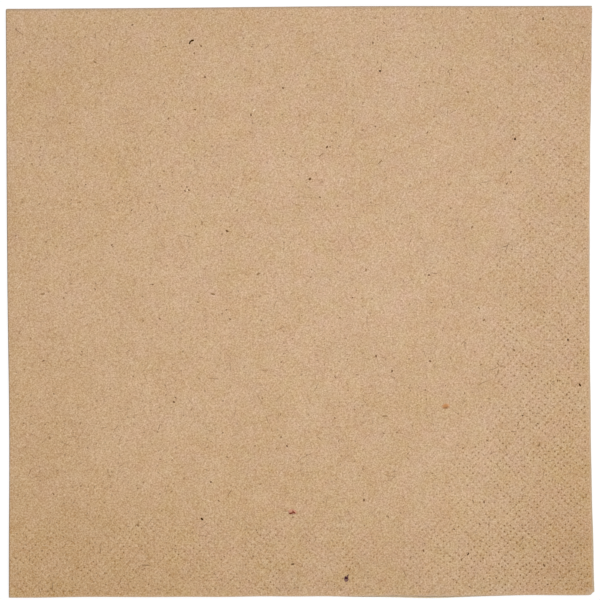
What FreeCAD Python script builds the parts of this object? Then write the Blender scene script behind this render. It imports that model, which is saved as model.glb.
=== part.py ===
import FreeCAD, Part
import math
import os

# A square paper napkin, folded twice and lying flat: one sheet of two-ply tissue, in four layers.
# Lengths are in millimetres. The origin is on the surface that the napkin lies on, under its middle.
# X runs from the first fold to the side cut edges, Y from the lower cut edges to the second fold,
# and Z up.

# Outside of the folded napkin
folded_width = 126.3
folded_height = 127.0

# The paper, both plies together, with the loft that their embossing gives them
sheet_thickness = 0.25

# Air between the two layers that the first fold joins, and between the two folded pairs
layer_gap = 0.15
pair_gap = 0.25

# The cut edges: those at the side curve in a little, and the first fold isn't quite in the middle
side_edge_bow = 0.7
inner_layer_setback = 0.2

# The free corner, where all the cut edges meet: the second fold is a little skew, so that there the
# upper pair stands back at the side and the lower pair stands back below, and both are rounded
upper_side_skew = 0.35
lower_edge_skew = 0.5
upper_corner_radius = 1.0
lower_corner_radius = 0.3

# The embossed margin inside the cut edges. Its dots stand in lines that cross as diamonds, and
# each side of a diamond is one short groove here, in both outer faces of the folded napkin.
# The pattern is turned a little on the sheet, in degrees, and is placed by one of its diamonds.
margin_width = 16.4
diamond_width = 6.57
diamond_height = 6.33
emboss_turn = 0.65
diamond_from_side = 2.2
diamond_from_edge = 5.1
groove_width = 0.3
groove_depth = 0.06
groove_end_gap = 0.3
shortest_groove = 1.0
plain_rim = 0.3

# The bend of each fold, measured to its outside
first_fold_radius = sheet_thickness + layer_gap / 2
pair_height = 2 * first_fold_radius
second_fold_radius = pair_height + pair_gap / 2
folded_thickness = 2 * second_fold_radius

# Where each fold's bend begins, and where the cut edges lie
first_fold_x = first_fold_radius - folded_width / 2
second_fold_y = folded_height / 2 - second_fold_radius
outer_side_x = folded_width / 2
inner_side_x = outer_side_x - inner_layer_setback
cut_edge_y = -folded_height / 2


def point(x, y, z):
    return FreeCAD.Vector(x, y, z)


def line(start, end):
    return Part.makeLine(start, end)


def arc(start, middle, end):
    return Part.Arc(start, middle, end).toShape()


def bend(y, middle_z, radius):
    """Half a circle across the first fold, from its bottom round the left side to its top."""
    return arc(
        point(first_fold_x, y, middle_z - radius),
        point(first_fold_x - radius, y, middle_z),
        point(first_fold_x, y, middle_z + radius),
    )


def flat_layer(bottom_z, side_x, side_skew, edge_skew, corner_radius):
    """One layer, from the two folds to its cut edges."""
    corner = point(side_x - side_skew, cut_edge_y + edge_skew, bottom_z)
    corner_inset = corner_radius * (1 - math.sqrt(0.5))
    closed_corner = point(first_fold_x, second_fold_y, bottom_z)
    bow_start = point(side_x, second_fold_y, bottom_z)
    bow_end = corner + point(0, corner_radius, 0)
    bow_middle = (bow_start + bow_end) / 2 - point(side_edge_bow, 0, 0)
    corner_middle = corner + point(-corner_inset, corner_inset, 0)
    edge_start = corner - point(corner_radius, 0, 0)
    edge_end = point(first_fold_x, cut_edge_y, bottom_z)
    outline = [
        line(closed_corner, bow_start),
        arc(bow_start, bow_middle, bow_end),
        arc(bow_end, corner_middle, edge_start),
        line(edge_start, edge_end),
        line(edge_end, closed_corner),
    ]
    return Part.Face(Part.Wire(outline)).extrude(point(0, 0, sheet_thickness))


def first_fold(bottom_z):
    """The bend that joins the two layers of one pair, down the left side."""
    middle_z = bottom_z + first_fold_radius
    outer = bend(cut_edge_y, middle_z, first_fold_radius)
    inner = bend(cut_edge_y, middle_z, layer_gap / 2)
    section = [
        outer,
        line(outer.lastVertex().Point, inner.lastVertex().Point),
        inner,
        line(inner.firstVertex().Point, outer.firstVertex().Point),
    ]
    return Part.Face(Part.Wire(section)).extrude(point(0, second_fold_y - cut_edge_y, 0))


def second_fold():
    """The bend that turns the lower pair over into the upper one, across the top."""
    outer = bend(second_fold_y, first_fold_radius, first_fold_radius)
    inner = bend(second_fold_y, first_fold_radius, layer_gap / 2)
    outer_layer_start = point(outer_side_x, second_fold_y, 0)
    outer_layer_end = point(outer_side_x, second_fold_y, sheet_thickness)
    inner_layer_start = point(inner_side_x, second_fold_y, pair_height)
    inner_layer_end = point(inner_side_x, second_fold_y, pair_height - sheet_thickness)
    section = [
        line(outer_layer_start, outer.firstVertex().Point),
        outer,
        line(outer.lastVertex().Point, inner_layer_start),
        line(inner_layer_start, inner_layer_end),
        line(inner_layer_end, inner.lastVertex().Point),
        inner,
        line(inner.firstVertex().Point, outer_layer_end),
        line(outer_layer_end, outer_layer_start),
    ]
    axis_point = point(0, second_fold_y, second_fold_radius)
    return Part.Face(Part.Wire(section)).revolve(axis_point, point(1, 0, 0), 180)


def folded_pair(bottom_z, bottom_side_x, top_side_x, side_skew, edge_skew, corner_radius):
    """Two layers, each with its own side edge, and the bend between them."""
    top_layer_z = bottom_z + pair_height - sheet_thickness
    return (
        flat_layer(bottom_z, bottom_side_x, side_skew, edge_skew, corner_radius),
        first_fold(bottom_z),
        flat_layer(top_layer_z, top_side_x, side_skew, edge_skew, corner_radius),
    )


def turned(x, y):
    """A step in the sheet's plane, turned with the embossing."""
    turn = math.radians(emboss_turn)
    return point(x * math.cos(turn) - y * math.sin(turn), x * math.sin(turn) + y * math.cos(turn), 0)


def diamond_sides():
    """The two upper sides of every diamond in a field that more than covers the napkin."""
    half_wide = turned(diamond_width / 2, 0)
    half_high = turned(0, diamond_height / 2)
    placed = point(outer_side_x - diamond_from_side, cut_edge_y + diamond_from_edge, 0)
    columns = math.ceil(2 * folded_width / diamond_width)
    rows = math.ceil(2 * folded_height / diamond_height)
    sides = []
    for column in range(-columns, columns + 1):
        for row in range(-rows, rows + 1):
            if (column + row) % 2 == 0:
                centre = placed + half_wide * column + half_high * row
                sides.append((centre + half_high, centre + half_wide))
                sides.append((centre + half_high, centre - half_wide))
    return sides


def stretch_on_sheet(start, end, side_skew, edge_skew):
    """The part of a line that lies on an outer layer, clear of its folds and cut edges."""
    along = end - start
    left = first_fold_x + plain_rim
    right = outer_side_x - side_skew - side_edge_bow - plain_rim
    bottom = cut_edge_y + edge_skew + plain_rim
    top = second_fold_y - plain_rim
    across_shares = sorted([(left - start.x) / along.x, (right - start.x) / along.x])
    upward_shares = sorted([(bottom - start.y) / along.y, (top - start.y) / along.y])
    first = max(0, across_shares[0], upward_shares[0])
    last = max(first, min(1, across_shares[1], upward_shares[1]))
    return start + along * first, start + along * last


def groove_cutter(start, end, face_z):
    """A bar of diamond section with its lower or upper half in the sheet."""
    along = (end - start).normalize()
    beside = point(-along.y, along.x, 0) * (groove_width / 2)
    deep = point(0, 0, groove_depth)
    first = start + along * groove_end_gap + point(0, 0, face_z)
    last = end - along * groove_end_gap + point(0, 0, face_z)
    section = [first + beside, first - deep, first - beside, first + deep, first + beside]
    return Part.Face(Part.makePolygon(section)).extrude(last - first)


def embossed(layer, face_z, side_skew, edge_skew):
    """An outer layer with the grooves of its margin pressed into the face at this height."""
    cutters = []
    for side_start, side_end in diamond_sides():
        middle = (side_start + side_end) / 2
        beside_side_edge = middle.x > outer_side_x - margin_width
        beside_lower_edge = middle.y < cut_edge_y + margin_width
        start, end = stretch_on_sheet(side_start, side_end, side_skew, edge_skew)
        long_enough = (end - start).Length > shortest_groove + 2 * groove_end_gap
        if long_enough and (beside_side_edge or beside_lower_edge):
            cutters.append(groove_cutter(start, end, face_z))
    return layer.cut(cutters)


def folded_napkin():
    """The whole sheet as one solid, from the lowest layer up."""
    lowest_layer, lower_bend, second_layer = folded_pair(
        0, outer_side_x, inner_side_x, 0, lower_edge_skew, lower_corner_radius
    )
    third_layer, upper_bend, top_layer = folded_pair(
        pair_height + pair_gap, inner_side_x, outer_side_x, upper_side_skew, 0, upper_corner_radius
    )
    pieces = [
        embossed(lowest_layer, 0, 0, lower_edge_skew),
        lower_bend,
        second_layer,
        third_layer,
        upper_bend,
        embossed(top_layer, folded_thickness, upper_side_skew, 0),
    ]
    return second_fold().multiFuse(pieces).removeSplitter().Solids[0]


os.makedirs("parts", exist_ok=True)
napkin = folded_napkin()
napkin.exportStep("parts/napkin.step")
print("napkin:", round(napkin.Volume, 1), "mm3,", len(napkin.Faces), "faces")
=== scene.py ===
# %% [markdown]
# # A brown paper napkin, folded in four
#
# The real object is one square of soft, unbleached two-ply tissue. It is folded in half to the
# left and in half again over the top, so that it lies as four layers, with round folds at the left
# and the top and cut edges at the right and below. A margin of small pressed dots holds the two
# plies together along the cut edges.
#
# The sheet is one mesh here, as it is one sheet on the table. What repeats on it, the dots, the
# bark flecks and the loose fibres, comes from Geometry Nodes. The felt of the paper is one
# procedural material.

# %% Load the fixed frame
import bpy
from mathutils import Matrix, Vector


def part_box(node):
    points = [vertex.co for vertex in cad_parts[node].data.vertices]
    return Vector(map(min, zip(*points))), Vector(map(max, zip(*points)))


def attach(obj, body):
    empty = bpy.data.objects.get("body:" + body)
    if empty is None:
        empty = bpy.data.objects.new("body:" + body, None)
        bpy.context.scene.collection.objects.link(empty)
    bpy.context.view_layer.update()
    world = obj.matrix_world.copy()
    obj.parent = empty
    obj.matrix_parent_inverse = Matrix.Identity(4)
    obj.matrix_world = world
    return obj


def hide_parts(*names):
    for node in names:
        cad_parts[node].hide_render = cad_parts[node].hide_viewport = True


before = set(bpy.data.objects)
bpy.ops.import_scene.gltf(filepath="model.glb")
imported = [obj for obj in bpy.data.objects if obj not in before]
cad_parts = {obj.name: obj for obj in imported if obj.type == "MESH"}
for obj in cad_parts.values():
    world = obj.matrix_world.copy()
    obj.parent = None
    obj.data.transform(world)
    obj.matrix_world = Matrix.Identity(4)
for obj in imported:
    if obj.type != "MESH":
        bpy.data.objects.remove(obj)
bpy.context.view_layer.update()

# %% Modules
import math

import bmesh
import bpy
import numpy as np
from mathutils import Vector, kdtree, noise
from mathutils.geometry import delaunay_2d_cdt

MM = 0.001


def new_object(name, data):
    """A new object at the scene's origin, from its mesh, lamp or camera."""
    thing = bpy.data.objects.new(name, data)
    bpy.context.collection.objects.link(thing)
    return thing


# %% [markdown]
# ## The sheet's section
#
# The node's box gives the napkin's width, height and thickness. The paper's own thickness and the
# air in a fold are what the eye knows of such tissue: two embossed plies are about a quarter of a
# millimetre, and the two layers that the first fold joins lie closer than the two pairs do.
#
# Every point of the sheet has a flat place (x, y), a turn of 0 to 180 degrees round each fold and
# a depth below the sheet's outer face. Turn 0 round both folds is the lowest layer, 180 degrees
# round the first fold is the layer on it, and 180 degrees round the second brings both to the top.
# One short formula then folds the whole sheet, faces and edges alike, so nothing can come apart.
# The skews are small: nobody folds a napkin exactly, so its cut edges don't quite meet.

# %% Measures of the folded sheet
low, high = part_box("napkin")
SHEET = 0.25 * MM
LAYER_GAP = 0.15 * MM
FIRST_RADIUS = SHEET + LAYER_GAP / 2
SECOND_RADIUS = (high.z - low.z) / 2
FIRST_FOLD_X = low.x + FIRST_RADIUS
SECOND_FOLD_Y = high.y - SECOND_RADIUS
CUT_EDGE_Y = low.y
OUTER_SIDE_X = high.x
INNER_SETBACK = 0.2 * MM
INNER_SIDE_X = high.x - INNER_SETBACK
SIDE_BOW = 0.7 * MM
UPPER_SIDE_SKEW = 0.35 * MM
LOWER_EDGE_SKEW = 0.5 * MM
UPPER_CORNER = 1.0 * MM
LOWER_CORNER = 0.3 * MM
HALF_TURN = math.pi


def folded(x, first_turn, y, second_turn, depth):
    """Where sheet points come to, from their flat places, their turns and their depths."""
    first_radius = FIRST_RADIUS - depth
    in_pair = FIRST_RADIUS - first_radius * np.cos(first_turn)
    second_radius = SECOND_RADIUS - in_pair
    return (
        x - first_radius * np.sin(first_turn),
        y + second_radius * np.sin(second_turn),
        SECOND_RADIUS - second_radius * np.cos(second_turn),
    )


print("napkin box, mm:", [round(v / MM, 2) for v in (*low, *high)])

# %% [markdown]
# ## Node trees written as Python
#
# A node tree grows fast, and a page of links is hard to read. One small class wraps a socket, so
# that `1 - mask` or `spots * 0.3` adds its own Math node. Another wraps the tree, and has one
# method that adds any other node: its settings go in first, because they can change which sockets
# it has, and then its values and links. Outputs are taken by their place in the node, and so are
# inputs that share one name: the numbers named here say which one is meant.
#
# Noise is built on a grid of its own, and where a flat sheet lies along that grid, the noise is
# lively in some places and dull in others. So its space is turned askew to the sheet.

# %% A socket that works in expressions, and a tree that adds nodes
NOISE_TILT = (math.radians(25), math.radians(35), 0)
NOISE_COLOUR = 1
OBJECT_PLACE = 3
MARK_COLOUR = 0
MARK_NUMBER = 2
MIX_FIRST = 6
MIX_SECOND = 7
MIX_COLOUR = 2


class Value:
    """One output of a node. Reckoning with it adds Math nodes to its tree."""

    def __init__(self, tree, socket):
        self.tree = tree
        self.socket = socket

    def math(self, operation, *others):
        operands = dict(enumerate((self, *others)))
        return self.tree.add("ShaderNodeMath", {"operation": operation}, operands)[0]

    def __add__(self, other):
        return self.math("ADD", other)

    def __mul__(self, other):
        return self.math("MULTIPLY", other)

    def __sub__(self, other):
        return self.math("SUBTRACT", other)

    def __rsub__(self, other):
        return (self * -1) + other

    def __mod__(self, other):
        return self.math("FLOORED_MODULO", other)

    def __lt__(self, other):
        return self.math("LESS_THAN", other)

    __radd__ = __add__
    __rmul__ = __mul__

    def ramp(self, start, end, low_value=0.0, high_value=1.0):
        """A smooth rise from low_value where this is start to high_value where it is end."""
        limits = {"Value": self, "From Min": start, "From Max": end}
        limits.update({"To Min": low_value, "To Max": high_value})
        settings = {"interpolation_type": "SMOOTHSTEP"}
        return self.tree.add("ShaderNodeMapRange", settings, limits)[0]


class Tree:
    """The nodes of a material, of the world or of a modifier."""

    def __init__(self, node_tree):
        self.node_tree = node_tree

    def add(self, kind, settings=None, inputs=None):
        """One node. The answer is the list of its outputs."""
        node = self.node_tree.nodes.new(kind)
        for name, setting in (settings or {}).items():
            setattr(node, name, setting)
        for key, value in (inputs or {}).items():
            if isinstance(value, Value):
                self.node_tree.links.new(value.socket, node.inputs[key])
            else:
                node.inputs[key].default_value = value
        return [Value(self, socket) for socket in node.outputs]

    def vector_math(self, operation, *operands):
        settings = {"operation": operation}
        return self.add("ShaderNodeVectorMath", settings, dict(enumerate(operands)))[0]

    def parts(self, vector):
        return self.add("ShaderNodeSeparateXYZ", inputs={0: vector})

    def join(self, x, y, z):
        return self.add("ShaderNodeCombineXYZ", inputs={0: x, 1: y, 2: z})[0]

    def noise(self, place, size, detail=2.0, seed=0.0, roughness=0.5):
        """Cloudy noise about 0, with blotches of about this size, in the unit of place."""
        shifted = self.vector_math("ADD", place, (seed, -seed, 2 * seed))
        inputs = {"Vector": shifted, "Scale": 1 / size, "Detail": detail, "Roughness": roughness}
        return self.add("ShaderNodeTexNoise", inputs=inputs)[0] - 0.5

    def noise_vector(self, place, size):
        """Three noises from 0 to 1 at once, to push a place about."""
        inputs = {"Vector": place, "Scale": 1 / size}
        return self.add("ShaderNodeTexNoise", inputs=inputs)[NOISE_COLOUR]

    def tilted(self, place):
        """The place turned askew, so that no layer of the noise's own grid lies along the sheet."""
        settings = {"rotation_type": "EULER_XYZ"}
        inputs = {"Vector": place, "Rotation": NOISE_TILT}
        return self.add("ShaderNodeVectorRotate", settings, inputs)[0]

    def mark(self, name, kind=MARK_NUMBER):
        """A number, or a colour, that the mesh itself carries at each of its points."""
        return self.add("ShaderNodeAttribute", {"attribute_name": name})[kind]

    def mix(self, mask, first, second):
        """Two colours mixed: up to 0 in the mask is the first, and from 1 on the second."""
        inputs = {"Factor": mask, MIX_FIRST: first, MIX_SECOND: second}
        return self.add("ShaderNodeMix", {"data_type": "RGBA"}, inputs)[MIX_COLOUR]


def fresh_tree(owner):
    """The empty node tree of a new material or world."""
    owner.use_nodes = True
    owner.node_tree.nodes.clear()
    return Tree(owner.node_tree)


def show(tree, kind, inputs):
    """A shader of this kind, as what the material shows."""
    shader = tree.add(kind, inputs=inputs)[0]
    tree.add("ShaderNodeOutputMaterial", inputs={"Surface": shader})


# %% [markdown]
# Geometry Nodes need a little more round them: named inputs, an object to carry the modifier, and a
# plain mesh at the end. The modifier's inputs are set by each socket's identifier, before the
# object is evaluated for the first time.

# %% A Geometry Nodes tree with named inputs, and the mesh that it makes
SOCKETS = {
    int: "NodeSocketInt",
    float: "NodeSocketFloat",
    bpy.types.Material: "NodeSocketMaterial",
}


class GeometryTree(Tree):
    """A tree whose inputs are a mesh and one socket for each of the values, under its name."""

    def __init__(self, name, values):
        super().__init__(bpy.data.node_groups.new(name, "GeometryNodeTree"))
        interface = self.node_tree.interface
        for in_out in ("INPUT", "OUTPUT"):
            interface.new_socket(name="Mesh", in_out=in_out, socket_type="NodeSocketGeometry")
        for label, value in values.items():
            kind = SOCKETS[type(value)]
            interface.new_socket(name=label, in_out="INPUT", socket_type=kind)
        self.given = dict(zip(("Mesh", *values), self.add("NodeGroupInput")))

    def position(self):
        return self.add("GeometryNodeInputPosition")[0]

    def named(self, name, kind="FLOAT"):
        """What the points of the geometry carry under this name."""
        settings = {"data_type": kind}
        return self.add("GeometryNodeInputNamedAttribute", settings, {"Name": name})[0]

    def moved(self, geometry, **where):
        inputs = {"Geometry": geometry, **where}
        return self.add("GeometryNodeSetPosition", inputs=inputs)[0]

    def without(self, geometry, selection):
        inputs = {"Geometry": geometry, "Selection": selection}
        return self.add("GeometryNodeDeleteGeometry", inputs=inputs)[0]

    def finish(self, geometry):
        realized = self.add("GeometryNodeRealizeInstances", inputs={"Geometry": geometry})[0]
        painted = {"Geometry": realized, "Material": self.given["Material"]}
        result = self.add("GeometryNodeSetMaterial", inputs=painted)[0]
        self.add("NodeGroupOutput", inputs={"Mesh": result})


def mesh_from(tree, start, values):
    """The plain mesh that a Geometry Nodes tree makes from a start mesh."""
    carrier = new_object(tree.node_tree.name, start)
    modifier = carrier.modifiers.new("nodes", "NODES")
    modifier.node_group = tree.node_tree
    for item in tree.node_tree.interface.items_tree:
        if item.in_out == "INPUT" and item.name in values:
            modifier[item.identifier] = values[item.name]
    evaluated = carrier.evaluated_get(bpy.context.evaluated_depsgraph_get())
    mesh = bpy.data.meshes.new_from_object(evaluated)
    bpy.data.objects.remove(carrier)
    return mesh


# %% [markdown]
# ## The tissue's finish
#
# Unbleached tissue is matt and warm brown, and never one colour. From far to near there are soft
# clouds where the pulp lies thicker, a mottle that is here a little pinker and there a little
# yellower, spots that are slightly paler because the pulp isn't washed evenly, a felt of fibres
# that cross at all angles, a fine grain, and small specks of bark. The dots are dark partly because
# the plies are pressed tight there and partly from painted shade in their cups. The folds are
# greyed with painted shade, the cut edges are paler from their fuzz and a painted highlight, and
# the lower layers' cut edges are paler still with painted light.
#
# It could be painted as an image, but an image has one size and seams. Noise on the object's own
# coordinates, in millimetres, has the same scale on every layer and fold. The felt is noise that is
# stretched along four directions, one for each way that the fibres cross.

# %% Colours of the paper
PAPER = (0.595, 0.402, 0.248, 1)
ROSY = (0.602, 0.394, 0.248, 1)
SALLOW = (0.588, 0.410, 0.248, 1)
PRESSED_DOT_AND_SHADE = (0.230, 0.120, 0.035, 1)
EDGE_FUZZ_AND_HIGHLIGHT = (0.610, 0.460, 0.340, 1)
LOWER_EDGE_PAINTED_LIGHT = (0.840, 0.680, 0.460, 1)
FOLD_PAINTED_SHADE = (0.400, 0.310, 0.235, 1)
BARK = (0.150, 0.070, 0.020, 1)

# %% How far red, green and blue each follow the shade, the pale spots and the tan
CHANNEL_SHADE = (0.90, 1.27, 1.62)
BLEACHING = (0.07, 0.085, 0.545)
TANNING = (0.020, 0.042, 0.115)

# %% The felt of crossing fibres
FIBRE_TURNS = (8, 53, 97, 142)
FIBRE_LENGTH = 1.3
FIBRE_WIDTH = 0.26
FELT_SEED = 11


def fibre_strands(tree, place, turn, seed):
    """Noise that is stretched along one direction."""
    inputs = {"Vector": place, "Rotation": (0, 0, math.radians(turn))}
    turned = tree.add("ShaderNodeMapping", {"vector_type": "TEXTURE"}, inputs)[0]
    squeezed = tree.vector_math("DIVIDE", turned, (FIBRE_LENGTH, FIBRE_WIDTH, FIBRE_WIDTH))
    return tree.noise(tree.tilted(squeezed), 1, detail=1, seed=seed)


def fibre_felt(tree, place):
    """The sum of four stretched noises: a felt about 0, with strands of every direction."""
    turns = enumerate(FIBRE_TURNS)
    return sum(fibre_strands(tree, place, turn, FELT_SEED * index) for index, turn in turns)


# %% Small specks of bark, in millimetres
SPECK_SPACING = 1.7
SPECK_RADIUS = 0.32
SPECK_SHARE = 0.4
SPECK_SEED = 7
SPECK_SOFTNESS = 0.3
SMALLEST_SPECK = 0.4
FAINTEST_SPECK = 0.3
RAGGED_SIZE = 0.25
RAGGED_PUSH = (0.35, 0.35, 0)


def specks(tree, place):
    """A mask of small ragged specks, about one in each square of the spacing. Few are kept."""
    ragged = tree.noise_vector(place, RAGGED_SIZE)
    pushed = tree.vector_math("MULTIPLY_ADD", ragged, RAGGED_PUSH, place)
    shifted = tree.vector_math("ADD", pushed, (SPECK_SEED, SPECK_SEED, 0))
    inputs = {"Vector": shifted, "Scale": 1 / SPECK_SPACING}
    distance, colour, *_ = tree.add("ShaderNodeTexVoronoi", {"voronoi_dimensions": "2D"}, inputs)
    chance, size, strength = tree.parts(colour)
    size = size * (1 - SMALLEST_SPECK) + SMALLEST_SPECK
    strength = strength * (1 - FAINTEST_SPECK) + FAINTEST_SPECK
    reach = size * (SPECK_RADIUS / SPECK_SPACING)
    kept = chance < SPECK_SHARE
    return distance.ramp(reach, reach * SPECK_SOFTNESS) * kept * strength


# %% [markdown]
# Some of the tones have their place on the sheet. The right side, the lower edge and the lower
# corners are darker, which is painted shade, and one patch lower right is paler, which is painted
# light. The paper is browner towards the left and below, and its mottle is calmer at the left. Each
# such patch is an amount and the ramps that bring it in, along x or y, in millimetres from the
# napkin's middle. They are few enough to be read off the photograph and listed one by one.

# %% Painted shade and light, where the paper is browner, and where its mottle is calmer
PAINTED_SHADE_AND_LIGHT_PATCHES = [
    (1.0, ("x", 46, 60), ("y", -25, -50)),
    (1.0, ("x", 46, 60), ("y", 35, 55)),
    (1.0, ("y", -40, -58)),
    (1.3, ("x", 45, 52), ("y", -38, -52)),
    (1.1, ("x", -28, -50), ("y", -18, -36)),
    (-1.8, ("x", 20, 34), ("x", 48, 40), ("y", -22, -44)),
]
TAN_PATCHES = [
    (0.6, ("x", 10, -63)),
    (0.6, ("y", 10, -63)),
    (1.0, ("x", 44, 63), ("y", 20, -60, 0.35, 0.8)),
    (0.55, ("x", 20, -50), ("y", -38, -60)),
]
CALM_SPOTS = [(1.0, ("x", -12, -48), ("y", 20, -35, 0.05, 0.40))]
CALM_BLUSH = [(0.36, ("x", -12, -48))]


def patchwork(tree, place, patches):
    """The sum of the patches at a place."""
    x, y, _ = tree.parts(place)
    along = {"x": x, "y": y}
    total = 0
    for amount, *ramps in patches:
        patch = amount
        for axis, *ends in ramps:
            patch = along[axis].ramp(*ends) * patch
        total = patch + total
    return total


# %% The noises of the paper, in millimetres, and how much each shades it
NOISES = {
    "clouds": {"size": 17, "detail": 2, "seed": 5},
    "mottle": {"size": 4.5, "detail": 3, "seed": 17},
    "blush": {"size": 4.0, "detail": 5, "seed": 41},
    "spots": {"size": 5.0, "detail": 2, "seed": 61, "roughness": 0.8},
    "grain": {"size": 0.29, "detail": 1, "seed": 3},
    "lint": {"size": 0.75, "detail": 1, "seed": 9},
}
SHADES = {"clouds": 0.08, "mottle": 0.125, "felt": 0.11, "lint": 0.07, "grain": 1.02}
HEIGHTS = {"felt": 0.6, "grain": 0.5, "mottle": 1.5}
BLUSH_CONTRAST = 2.5
SPOT_SHARE = 0.76
SPOT_CLOUDS = 0.25
PAINTED_SHADE_DEPTH = 0.017
BARK_SHARE = 0.6


def paper_noises(tree, place):
    tilted = tree.tilted(place)
    noises = {name: tree.noise(tilted, **measures) for name, measures in NOISES.items()}
    noises["felt"] = fibre_felt(tree, place)
    return noises


def paper_colour(tree, place, noises):
    """The colour away from the dots, the edges and the folds."""
    blush = noises["blush"] * (1 - patchwork(tree, place, CALM_BLUSH))
    colour = tree.mix(blush * BLUSH_CONTRAST + 0.5, SALLOW, ROSY)
    spots = noises["spots"] * SPOT_SHARE + noises["clouds"] * SPOT_CLOUDS
    spots = spots * (1 - patchwork(tree, place, CALM_SPOTS))
    shade = sum(noises[name] * share for name, share in SHADES.items())
    # Painted shade darkens the right side, the lower edge and the lower corners; the negative patch
    # is painted light.
    shade = shade - patchwork(tree, place, PAINTED_SHADE_AND_LIGHT_PATCHES) * PAINTED_SHADE_DEPTH
    tan = patchwork(tree, place, TAN_PATCHES)
    channels = zip(CHANNEL_SHADE, BLEACHING, TANNING)
    light = tree.join(*(shade * s + spots * b + 1 - tan * t for s, b, t in channels))
    colour = tree.vector_math("MULTIPLY", colour, light)
    return tree.mix(specks(tree, place) * BARK_SHARE, colour, BARK)


# %% The tissue, with what the mesh marks: its dots, its cut edges and its folds
DOT_RIM = (0.12, 0.62)
DOT_RAGGEDNESS = 2.2
DOT_SHARE = 0.60
EDGE_SHARE = 0.6
FOLD_SHADE_SHARE = 0.6
PAPER_SURFACE = {"Roughness": 0.92, "Specular IOR Level": 0.06}
PAPER_BUMP = {"Strength": 0.5, "Distance": 0.03 * MM}


def tissue(name):
    material = bpy.data.materials.new(name)
    tree = fresh_tree(material)
    metres = tree.add("ShaderNodeTexCoord")[OBJECT_PLACE]
    place = tree.vector_math("MULTIPLY", metres, (1 / MM, 1 / MM, 1 / MM))
    noises = paper_noises(tree, place)
    colour = paper_colour(tree, place, noises)
    # The dots are darker: partly the paper pressed tight there, partly painted shade in their cups.
    dot = tree.mark("in_dot").ramp(*DOT_RIM) * (noises["grain"] * DOT_RAGGEDNESS + 1)
    colour = tree.mix(dot * tree.mark("press") * DOT_SHARE, colour, PRESSED_DOT_AND_SHADE)
    # The cut edges are paler and greyer: partly the fuzz of cut paper, partly a painted highlight
    # where the edge catches light.
    colour = tree.mix(tree.mark("edge") * EDGE_SHARE, colour, EDGE_FUZZ_AND_HIGHLIGHT)
    # Painted shade: the folds are greyed where the sheet turns away round its bends.
    colour = tree.mix(tree.mark("fold") * FOLD_SHADE_SHARE, colour, FOLD_PAINTED_SHADE)
    # Painted light: the lower layers' cut edges peep out in the shade of the layers above and are
    # painted much paler.
    colour = tree.mix(tree.mark("lower_edge"), colour, LOWER_EDGE_PAINTED_LIGHT)
    height = sum(noises[name] * share for name, share in HEIGHTS.items())
    normal = tree.add("ShaderNodeBump", inputs={"Height": height, **PAPER_BUMP})[0]
    surface = {"Base Color": colour, "Normal": normal, **PAPER_SURFACE}
    show(tree, "ShaderNodeBsdfPrincipled", surface)
    return material


tissue_material = tissue("kraft_tissue_paper")
print("nodes in the paper's material:", len(tissue_material.node_tree.nodes))

# %% [markdown]
# ## The embossed dots
#
# On the real sheet a steel roller presses a net of diamonds into both plies. Each line of the net
# is a row of dots, and each diamond has a smaller ring of dots in it. The dots could be bump alone,
# but they are what holds the plies together and they show from every side, so they are real cups.
#
# They follow a rule, so Geometry Nodes make them. A grid of points, ten to a diamond each way, is
# counted out from a diamond's middle. Its steps across and its steps up come to 2 on the ring, to 5
# on the net and to 8 on the rings of the diamonds between, so a point is a dot if the sum leaves 2
# when it is divided by 3. The field fades inwards, where the roller pressed less, and it is patchy,
# because the paper is.

# %% The measures of the net and of a cup
DIAMOND_WIDTH = 6.57 * MM
DIAMOND_HEIGHT = 6.33 * MM
STEPS_IN_DIAMOND = 10
STEPS_TO_RINGS = 3
STEPS_LEFT = 2
EMBOSS_TURN = math.radians(0.65)
DIAMOND_X = high.x - 2.2 * MM
DIAMOND_Y = low.y + 5.1 * MM
DIAMONDS_TO_MIDDLE = 9
CUP_RADIUS = 0.30 * MM
CUP_DEPTH = 0.08 * MM
CUP_SIDES = 8
DOT_SEED = 4

# %% Where the field reaches and how strong it is: ramps by start and end, and the values there
FIELD_CLOUD = 16 * MM
FIELD_WANDER = 7 * MM
SIDE_REACH = (-24 * MM, -44 * MM, 21 * MM, 36 * MM)
WAIST = 9 * MM
WAIST_BELOW = (8 * MM, 20 * MM)
WAIST_ABOVE = (40 * MM, 26 * MM)
INNER_FADE = (-2 * MM, 2 * MM)
SIDE_BY_HEIGHT = (60 * MM, -50 * MM, 0.46, 0.95)
SIDE_BY_DEPTH = (36 * MM, 8 * MM, 0.55, 1.0)
EDGE_BY_DEPTH = (23 * MM, 11 * MM)
EDGE_BY_WIDTH = (22 * MM, 56 * MM, 0.66, 1.20)
WEAK_FROM = (14 * MM, 18.5 * MM)
WEAK_TO = (25 * MM, 20.5 * MM)
WEAKENING = 0.4
PATCH_SIZE = 4 * MM
PATCHINESS = 2.4
DOT_LUCK = (0.4, 1.6)
STRONGEST_DOT = 1.4
FAINTEST_DOT = 0.22
DOT_TO_EDGE = 0.3 * MM
RANDOM_LOW, RANDOM_HIGH, RANDOM_NUMBER = 2, 3, 1

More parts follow.
